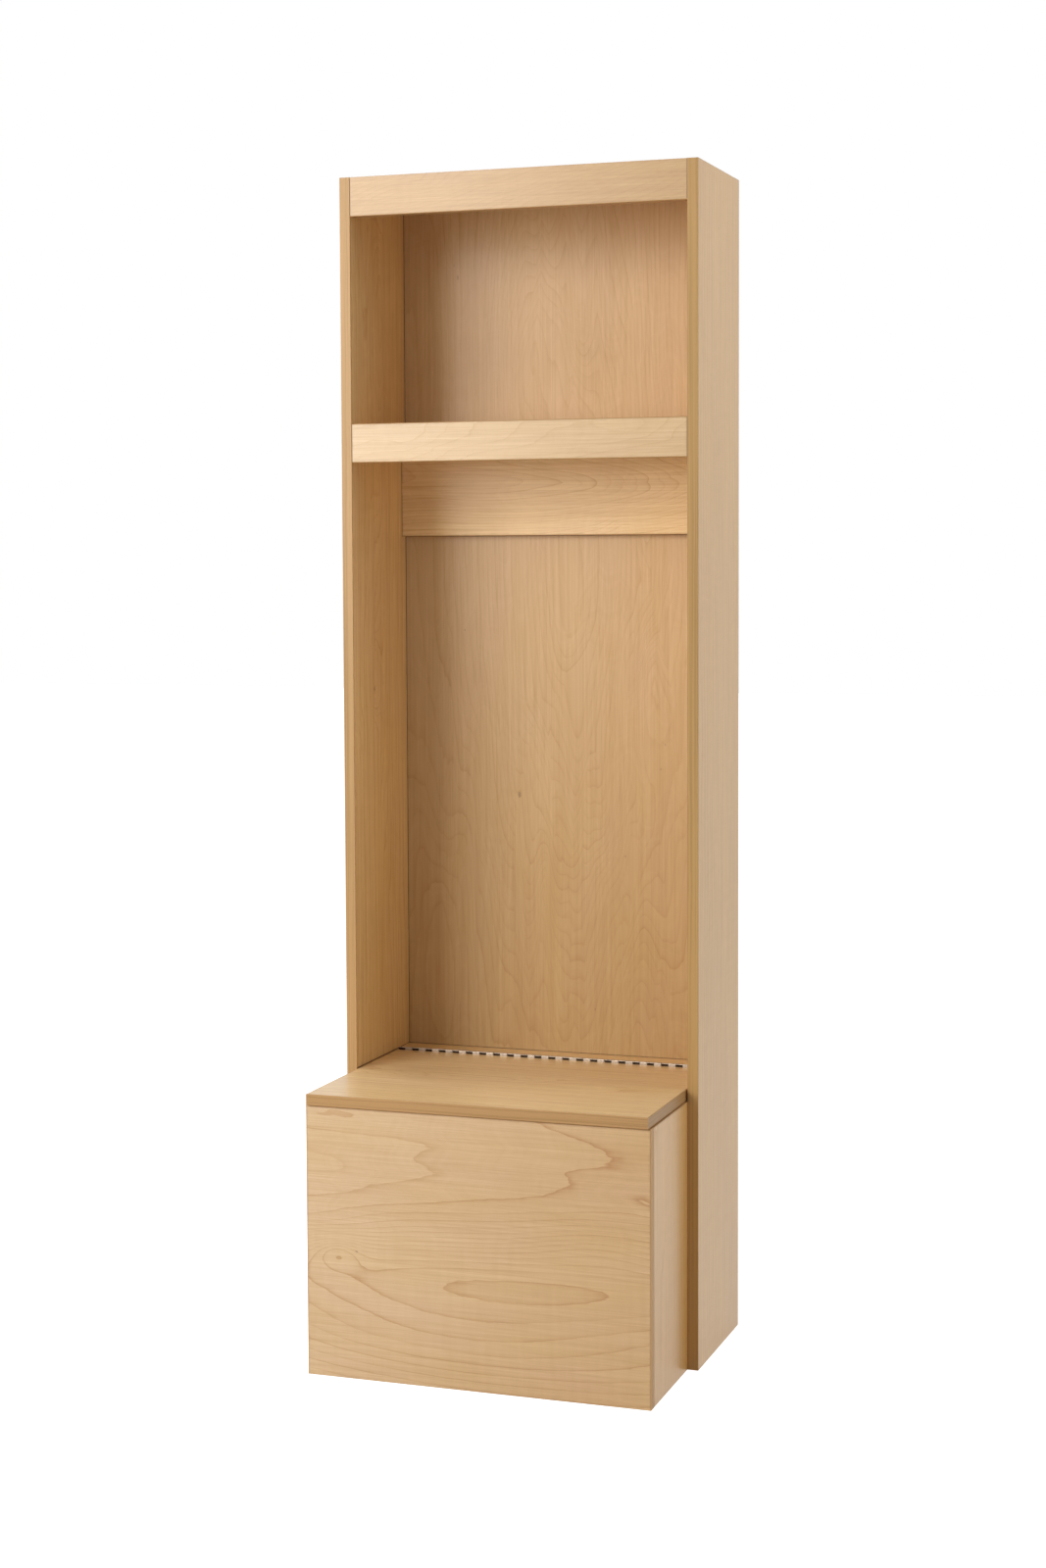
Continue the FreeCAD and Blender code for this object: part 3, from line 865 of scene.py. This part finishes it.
def plate_material(name, face, dull, roughness, crown=None):
    """Plated steel. A crown is a height and a colour: below the height the plate has its own
    colour, which on the fixed leaf is painted shade, and above it the crown's colour, the plain
    plate of the knuckle's lit top."""
    graph, dress = material(name)
    coordinates = graph.out("ShaderNodeTexCoord", key="Object")
    ground = rgba(face)
    if crown:
        height, bright = crown
        share = graph.ramp(graph.axes(coordinates)[2], height - MM / 4, height + MM / 4)
        ground = graph.mix(share, ground, rgba(bright))
    plate = use(graph, plate_group(), vector=coordinates, face_color=ground,
                dull_color=rgba(dull), roughness=roughness)
    return dress({"Base Color": plate["Color"], "Roughness": plate["Roughness"],
                  "Normal": graph.bump(plate["Height"], DRAWN_DEPTH, 0.4), "Metallic": 1.0})


class Maker(Graph):
    """A Geometry Nodes tree that grows one kind of piece. Every tree has a material input."""

    def __init__(self, name, numbers, counts=(), places=()):
        super().__init__(bpy.data.node_groups.new(name, "GeometryNodeTree"))
        kinds = {"Geometry": ("Geometry",), "Float": numbers, "Int": counts, "Vector": places,
                 "Material": ("Finish",)}
        sockets = self.tree.interface
        for kind, labels in kinds.items():
            for label in labels:
                sockets.new_socket(label, in_out="INPUT", socket_type="NodeSocket" + kind)
        sockets.new_socket("Geometry", in_out="OUTPUT", socket_type="NodeSocketGeometry")
        self.given = self.outs("NodeGroupInput")
        self.inputs = [self.given[label] for label in (*numbers, *counts, *places)]

    def shape(self, kind, feeds=None, **settings):
        return self.out("GeometryNode" + kind, feeds, **settings)

    def moved(self, shape, offset):
        return self.shape("Transform", {"Geometry": shape, "Translation": offset})

    def finish(self, shape):
        """Sends the shape out through Realize Instances and Set Material."""
        real = self.shape("RealizeInstances", {0: shape})
        done = self.shape("SetMaterial", {"Geometry": real, "Material": self.given["Finish"]})
        self.node("NodeGroupOutput", {0: done})
        return self.tree


def grown(name, seed_mesh, tree, values, body, replaced):
    """A piece grown by a Geometry Nodes tree from a seed mesh, made a plain mesh that rides on
    its body and stands for the CAD nodes that it replaces."""
    source = bpy.data.objects.new(name + "_seed", seed_mesh)
    bpy.context.scene.collection.objects.link(source)
    modifier = source.modifiers.new("Maker", "NODES")
    modifier.node_group = tree
    for item in tree.interface.items_tree:
        if item.in_out == "INPUT" and item.name in values:
            modifier[item.identifier] = values[item.name]
    source.update_tag()
    shown = source.evaluated_get(bpy.context.evaluated_depsgraph_get())
    mesh = bpy.data.meshes.new_from_object(shown)
    source.modifiers.remove(modifier)
    bpy.data.objects.remove(source)
    shape = bmesh.new()
    shape.from_mesh(mesh)
    bmesh.ops.remove_doubles(shape, verts=shape.verts, dist=MM / 1000)
    bmesh.ops.recalc_face_normals(shape, faces=shape.faces)
    shape.to_mesh(mesh)
    shape.free()
    if not mesh.polygons:
        raise RuntimeError(name + " came out empty")
    mesh.shade_smooth()
    mesh.set_sharp_from_angle(angle=math.radians(35.0))
    mesh.name = name
    piece = bpy.data.objects.new(name, mesh)
    bpy.context.scene.collection.objects.link(piece)
    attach(piece, body)
    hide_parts(*replaced)
    return piece


def knuckle_tree():
    """One hinge leaf: a row of rolled knuckles over a flat strip."""
    maker = Maker("Hinge leaf",
                  ("First", "Step", "Length", "Inner Radius", "Leaf", "Curl", "Foot", "Side",
                   "Strip Length", "Strip Low"), ("Knuckles", "Parts"), ("Axis",))
    first, pitch, length, inner, leaf, curl, foot, side, *others = maker.inputs
    strip_length, strip_low, count, parts, axis = others
    section = maker.shape("MeshGrid", {"Size X": 1.0, "Size Y": 1.0, "Vertices X": parts + 2.0,
                                       "Vertices Y": 2})
    x, y, _ = maker.axes(maker.shape("InputPosition"))
    share = x + 0.5
    step = 1.0 / (parts + 1.0)
    turn = maker.math("MAXIMUM", (share - step) / (1.0 - step), 0.0) * curl
    low = maker.math("LESS_THAN", share, step * 0.5)
    radius = (y + 0.5) * leaf + inner
    outward = radius * maker.math("COSINE", turn) * side
    rise = radius * maker.math("SINE", turn) - low * foot
    flat = maker.shape("SetPosition",
                       {"Geometry": section, "Position": maker.join(0.0, outward, rise)})
    sides = maker.shape("ExtrudeMesh", {"Mesh": flat, "Offset": maker.join(length, 0.0, 0.0),
                                        "Offset Scale": 1.0, "Individual": False})
    joined = maker.shape("JoinGeometry", {0: [sides, maker.shape("FlipFaces", {"Mesh": flat})]})
    knuckle = maker.shape("MergeByDistance", {"Geometry": joined, "Distance": MM / 1000})
    start = maker.vector("ADD", axis, maker.join(first, 0.0, 0.0))
    row = maker.shape("MeshLine", {"Count": count, "Start Location": start,
                                   "Offset": maker.join(pitch, 0.0, 0.0)})
    curls = maker.shape("InstanceOnPoints", {"Points": row, "Instance": knuckle})
    top = foot * -1.0
    strip = maker.shape("MeshCube", {"Size": maker.join(strip_length, leaf, top - strip_low)})
    centre = maker.join(0.0, (leaf * 0.5 + inner) * side, (top + strip_low) * 0.5)
    placed = maker.moved(strip, maker.vector("ADD", centre, axis))
    return maker.finish(maker.shape("JoinGeometry", {0: [curls, placed]}))


def screw_tree():
    """A set of flat-head screws with a cross recess, one at each vertex of the seed mesh, turned
    to its own direction."""
    maker = Maker("Screw set",
                  ("Head Radius", "Shank Radius", "Length", "Tip", "Recess", "Slot"))
    head_radius, shank_radius, length, tip_length, recess, slot = maker.inputs
    head_depth = head_radius - shank_radius

    def cone(bottom, top, depth, base):
        shape = maker.shape("MeshCone", {"Vertices": 24, "Radius Top": top,
                                         "Radius Bottom": bottom, "Depth": depth})
        return maker.moved(shape, maker.join(0.0, 0.0, base))

    recess_depth = head_depth * 1.6
    blades = [maker.shape("MeshCube", {"Size": maker.join(wide, high, recess_depth)})
              for wide, high in ((recess, slot), (slot, recess))]
    head = maker.shape("MeshBoolean",
                       {"Mesh 1": cone(head_radius, shank_radius, head_depth, 0.0),
                        "Mesh 2": blades}, operation="DIFFERENCE", solver="EXACT")
    straight = length - head_depth - tip_length
    shank = cone(shank_radius, shank_radius, straight, head_depth)
    tip = cone(shank_radius, BLUNT, tip_length, head_depth + straight)
    screw = maker.shape("MeshBoolean", {"Mesh 2": [head, shank, tip]}, operation="UNION",
                        solver="EXACT")
    points = maker.shape("MeshToPoints", {"Mesh": maker.given["Geometry"]})
    aimed = maker.shape("InputNamedAttribute", {"Name": "aim"}, key="Attribute",
                        data_type="FLOAT_VECTOR")
    turned = maker.out("FunctionNodeAlignRotationToVector", {"Vector": aimed}, axis="Z")
    spin = maker.out("FunctionNodeRandomValue", {"Max": math.tau, "Seed": 5}, 1,
                     data_type="FLOAT")
    twist = maker.out("FunctionNodeAxisAngleToRotation", {"Axis": (0.0, 0.0, 1.0), "Angle": spin})
    whole = maker.out("FunctionNodeRotateRotation", {"Rotation": turned, "Rotate By": twist},
                      rotation_space="LOCAL")
    return maker.finish(maker.shape("InstanceOnPoints", {"Points": points, "Instance": screw,
                                                         "Rotation": whole}))


def loose_parts(node):
    """The corners of each separate solid in a CAD node, as (low, high) pairs."""
    shape = bmesh.new()
    shape.from_mesh(NODES[node].data)
    bmesh.ops.remove_doubles(shape, verts=shape.verts, dist=MM / 200)
    left = set(shape.verts)
    parts = []
    while left:
        found = [left.pop()]
        for vertex in found:
            near = {edge.other_vert(vertex) for edge in vertex.link_edges} & left
            left -= near
            found.extend(near)
        places = [vertex.co for vertex in found]
        parts.append((Vector(map(min, zip(*places))), Vector(map(max, zip(*places)))))
    shape.free()
    return sorted(parts, key=lambda part: tuple(round(value, 5) for value in part[0]))


def screw_seed(node, direction=None):
    """A mesh with one vertex at each screw head's middle and the direction of its shank, which
    points away from the locker's middle where none is given."""
    places, aims = [], []
    for low, high in loose_parts(node):
        middle = (low + high) / 2
        aim = Vector(direction or (math.copysign(1, middle.x), 0, 0))
        reach = sum(abs(value) * (top - bottom)
                    for value, top, bottom in zip(aim, high, low)) / 2
        places.append(middle - aim * (reach + PROUD))
        aims.extend(aim)
    mesh = bpy.data.meshes.new(node + "_heads")
    mesh.from_pydata(places, [], [])
    mesh.attributes.new("aim", "FLOAT_VECTOR", "POINT").data.foreach_set("vector", aims)
    return mesh


class LOCKER_OT_hinge(bpy.types.Operator):
    """Rolls the knuckles of the long hinge round its pin, on the lid's leaf and the fixed one"""
    bl_idname = "locker.hinge"
    bl_label = "Long hinge"

    def execute(self, context):
        settings = context.scene.locker_hinge
        low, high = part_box("hinge_pin")
        axis = (low + high) / 2
        bright = plate_material("nickel_plate", settings.plate_color, settings.dull_color, 0.48)
        # Painted shade: the fixed leaf and the pin get a dark copy of the plating for the shade
        # under the fixed knuckles, with the plain plate colour above the crown.
        shaded = plate_material("nickel_plate_dull", settings.shaded_color,
                                [share / 2 for share in settings.shaded_color], 0.5,
                                (axis.z + settings.crown, settings.plate_color))
        paint(NODES["hinge_pin"], shaded)
        tree = knuckle_tree()
        strip_low, strip_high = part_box("hinge_leaf_fixed")
        length = strip_high.x - strip_low.x + settings.gap
        count = round(length / settings.pitch)
        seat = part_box("ledge")[1].z
        for name, side, first, finish in (("fixed", 1.0, 0, shaded), ("lid", -1.0, 1, bright)):
            node = "hinge_leaf_" + name
            seed = bpy.data.meshes.new(node + "_seed")
            low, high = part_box(node)
            reach = (high.y - axis.y) if side > 0 else (axis.y - low.y)
            piece = grown(node + "_rolled", seed, tree,
                          {"Knuckles": len(range(first, count, 2)),
                           "First": -length / 2 + first * settings.pitch + settings.gap / 2,
                           "Step": 2 * settings.pitch,
                           "Length": settings.pitch - settings.gap,
                           "Inner Radius": reach - settings.leaf, "Leaf": settings.leaf,
                           "Curl": settings.curl, "Parts": settings.curl_parts,
                           "Foot": axis.z - seat + MM, "Side": side,
                           "Strip Length": length, "Strip Low": low.z - axis.z,
                           "Axis": (0.0, axis.y, axis.z), "Finish": finish},
                          BODY_OF[node], [node])
            soften(piece, settings.gap / 3, 50.0)
        return {"FINISHED"}


class LOCKER_OT_screws(bpy.types.Operator):
    """Sets the screws of the back, the storage box and the hinge, each with a cross recess"""
    bl_idname = "locker.screws"
    bl_label = "Screws"

    def execute(self, context):
        settings = context.scene.locker_hinge
        nickel = plate_material("nickel_screws", settings.plate_color, settings.dull_color, 0.34)
        zinc = plate_material("zinc_screws", (0.48, 0.48, 0.46), (0.30, 0.30, 0.28), 0.42)
        tree = screw_tree()
        sets = (
            ("screws_back", (0, -1, 0), LARGE_SCREW, zinc, "screw_steel"),
            ("screws_box", None, LARGE_SCREW, zinc, "screw_steel"),
            ("hinge_screws_fixed", (0, 1, 0), SMALL_SCREW, nickel, "hinge_steel"),
            ("hinge_screws_lid", (0, -1, 0), SMALL_SCREW, nickel, "hinge_steel"),
        )
        for node, direction, (head, shank, length, tip), finish, slot in sets:
            grown(node + "_driven", screw_seed(node, direction), tree,
                  {"Head Radius": head, "Shank Radius": shank, "Length": length, "Tip": tip,
                   "Recess": head * RECESS, "Slot": head * SLOT, "Finish": finish},
                  BODY_OF[node], [node])
        return {"FINISHED"}


def dome_tree():
    """A set of soft domes, one at each vertex of the seed mesh, on a short straight skirt."""
    maker = Maker("Dome set", ("Radius", "Height", "Skirt"))
    radius, height, skirt = maker.inputs
    ball = maker.shape("MeshUVSphere", {"Segments": 32, "Rings": 24, "Radius": 1.0})
    x, y, z = maker.axes(maker.shape("InputPosition"))
    under = maker.math("LESS_THAN", z, 0.0)
    wide = (x ** 2.0 + y ** 2.0) ** 0.5
    grow = maker.out("ShaderNodeMix", {
        0: under * maker.math("GREATER_THAN", wide, 0.5), 2: radius,
        3: radius / maker.math("MAXIMUM", wide, 0.001)}, data_type="FLOAT")
    rise = (maker.math("MAXIMUM", z, 0.0) * (height - skirt) + skirt) * (1.0 - under)
    dome = maker.shape("SetPosition",
                       {"Geometry": ball, "Position": maker.join(x * grow, y * grow, rise)})
    points = maker.shape("MeshToPoints", {"Mesh": maker.given["Geometry"]})
    return maker.finish(maker.shape("InstanceOnPoints", {"Points": points, "Instance": dome}))


class LOCKER_OT_bumpers(bpy.types.Operator):
    """Sets the lid's two soft domed bumpers on the box"""
    bl_idname = "locker.bumpers"
    bl_label = "Soft bumpers"

    def execute(self, context):
        graph, dress = material("clear_rubber")
        coordinates = graph.out("ShaderNodeTexCoord", key="Object")
        grain = graph.noise(coordinates, (900.0, 900.0, 900.0))
        made = dress({
            "Base Color": graph.mix(grain, (0.72, 0.70, 0.66, 1), (0.80, 0.79, 0.76, 1)),
            "Roughness": graph.ramp(grain, 0.2, 0.8, 0.3, 0.5),
            "Normal": graph.bump(grain, RUBBER_DEPTH, 0.5)})
        solids = loose_parts("lid_bumpers")
        places = [((low.x + high.x) / 2, (low.y + high.y) / 2, low.z) for low, high in solids]
        low, high = solids[0]
        seed = bpy.data.meshes.new("bumper_seed")
        seed.from_pydata(places, [], [])
        height = high.z - low.z
        grown("lid_bumpers_domed", seed, dome_tree(),
              {"Radius": (high.x - low.x) / 2, "Height": height, "Skirt": height / 3,
               "Finish": made}, BODY_OF["lid_bumpers"], ["lid_bumpers"])
        return {"FINISHED"}


def soft_box(name, place, target, size, power):
    """A rectangular lamp that points at its target."""
    lamp = bpy.data.lights.new(name, "AREA")
    lamp.shape = "RECTANGLE"
    lamp.size, lamp.size_y = size
    lamp.energy = power
    obj = bpy.data.objects.new(name, lamp)
    obj.location = place
    aim = Vector(target) - Vector(place)
    obj.rotation_euler = aim.to_track_quat("-Z", "Y").to_euler()
    bpy.context.scene.collection.objects.link(obj)


def add_camera(scene, settings):
    """The camera of the picture, which becomes the scene's."""
    yaw, pitch, roll = settings.camera_yaw, settings.camera_pitch, settings.camera_roll
    forward = Vector((-math.sin(yaw) * math.cos(pitch), math.cos(yaw) * math.cos(pitch),
                      -math.sin(pitch)))
    level = Vector((math.cos(yaw), math.sin(yaw), 0))
    above = level.cross(forward)
    right = level * math.cos(roll) + above * math.sin(roll)
    up = above * math.cos(roll) - level * math.sin(roll)
    data = bpy.data.cameras.new("camera")
    data.lens = settings.lens
    data.sensor_width = 36.0
    data.shift_y = settings.shift
    camera = bpy.data.objects.new("camera", data)
    turn = Matrix((right, up, -forward)).transposed().to_4x4()
    camera.matrix_world = Matrix.Translation(settings.camera_place) @ turn
    scene.collection.objects.link(camera)
    scene.camera = camera


def add_surroundings(scene, settings):
    """Surroundings that are white where they are seen or mirrored, and dimmer as a light."""
    world = bpy.data.worlds.new("white_surroundings")
    world.use_nodes = True
    world.node_tree.nodes.clear()
    graph = Graph(world.node_tree)
    path = graph.outs("ShaderNodeLightPath")
    seen = graph.math("MAXIMUM", path["Is Camera Ray"], path["Is Transmission Ray"])
    seen = graph.math("MAXIMUM", seen, path["Is Glossy Ray"])
    strength = seen * (1.0 - settings.sky) + settings.sky
    back = graph.out("ShaderNodeBackground", {"Color": WHITE, "Strength": strength})
    graph.node("ShaderNodeOutputWorld", {"Surface": back})
    scene.world = world


def add_floor(scene, settings):
    """A pale floor that is white to the camera and takes no part in the locker."""
    mesh = bpy.data.meshes.new("floor")
    shape = bmesh.new()
    bmesh.ops.create_grid(shape, x_segments=1, y_segments=1, size=FLOOR_REACH)
    bmesh.ops.translate(shape, verts=shape.verts, vec=(0, FLOOR_BACK, -FLOOR_DROP))
    shape.to_mesh(mesh)
    shape.free()
    floor = bpy.data.objects.new("floor", mesh)
    scene.collection.objects.link(floor)
    graph, dress = material("pale_floor")
    path = graph.outs("ShaderNodeLightPath")
    coordinates = graph.out("ShaderNodeTexCoord", key="Object")
    mottle = graph.noise(coordinates, (3.0, 3.0, 3.0), 3.0)
    darker = rgba(settings.floor_color, (0.985, 0.985, 0.985))
    mirrored = path["Is Glossy Ray"] * settings.floor_glow
    paint(floor, dress({
        "Base Color": graph.mix(mottle, darker, rgba(settings.floor_color)), "Roughness": 0.7,
        "Emission Color": WHITE,
        "Emission Strength": graph.math("MAXIMUM", path["Is Camera Ray"], mirrored)}))


class LOCKER_OT_stage(bpy.types.Operator):
    """Sets out the pale floor, the white surroundings, the soft boxes and the camera"""
    bl_idname = "locker.stage"
    bl_label = "Floor, light and camera"

    def execute(self, context):
        scene = context.scene
        settings = scene.locker_stage
        add_camera(scene, settings)
        scene.view_settings.view_transform = "Standard"
        for name, (place, target, size) in LAMPS.items():
            soft_box(name, place, target, size, getattr(settings, name))
        add_surroundings(scene, settings)
        add_floor(scene, settings)
        return {"FINISHED"}


class LOCKER_PT_panel(bpy.types.Panel):
    """The locker's pieces, in the order in which they are made"""
    bl_idname = "LOCKER_PT_panel"
    bl_label = "Hall locker"
    bl_space_type = "VIEW_3D"
    bl_region_type = "UI"
    bl_category = "Locker"

    def draw(self, context):
        for maker in OPERATORS:
            self.layout.operator(maker.bl_idname)


OPERATORS = (LOCKER_OT_boards, LOCKER_OT_bands, LOCKER_OT_dowels, LOCKER_OT_hinge,
             LOCKER_OT_screws, LOCKER_OT_bumpers, LOCKER_OT_stage)
SETTINGS = {"locker_wood": LockerWoodSettings, "locker_hinge": LockerHingeSettings,
            "locker_stage": LockerStageSettings}


def register():
    for kind in (*SETTINGS.values(), *OPERATORS, LOCKER_PT_panel):
        bpy.utils.register_class(kind)
    for name, kind in SETTINGS.items():
        setattr(bpy.types.Scene, name, PointerProperty(type=kind))


def unregister():
    for name in SETTINGS:
        delattr(bpy.types.Scene, name)
    for kind in (LOCKER_PT_panel, *OPERATORS, *SETTINGS.values()):
        bpy.utils.unregister_class(kind)


def main():
    register()
    for maker in OPERATORS:
        section, name = maker.bl_idname.split(".")
        getattr(getattr(bpy.ops, section), name)()


if __name__ == "__main__":
    main()
